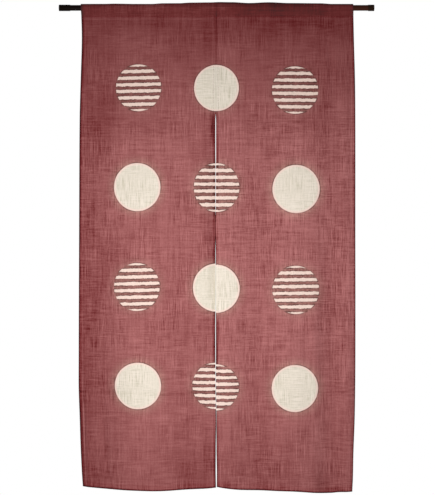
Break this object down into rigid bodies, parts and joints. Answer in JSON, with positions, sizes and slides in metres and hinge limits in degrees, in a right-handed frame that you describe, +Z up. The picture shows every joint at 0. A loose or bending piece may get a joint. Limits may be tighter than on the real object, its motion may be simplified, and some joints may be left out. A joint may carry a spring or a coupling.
{
  "type": "noren curtain with rod",
  "caption": "Split doorway curtain: two widths of hemp cloth joined at the top by a seam, with a slit below, hanging from a round rod through their pocket.",
  "frame": {"origin": "on the rod's axis, midway along the rod", "axes": "+X to the viewer's right along the rod, +Y away from the viewer through the cloth, +Z up"},
  "size_m": [0.9706, 0.0541, 1.5129],
  "materials": {
    "cloth": "burgundy-dyed plain-weave hemp with undyed dots, matt",
    "rod": "dark brown enamel, soft sheen",
    "cap": "near-black plastic, matt"
  },
  "bodies": {
    "root": {"panel_left": "cloth", "panel_right": "cloth", "rod": "rod", "cap_left": "cap", "cap_right": "cap"}
  },
  "joints": []
}
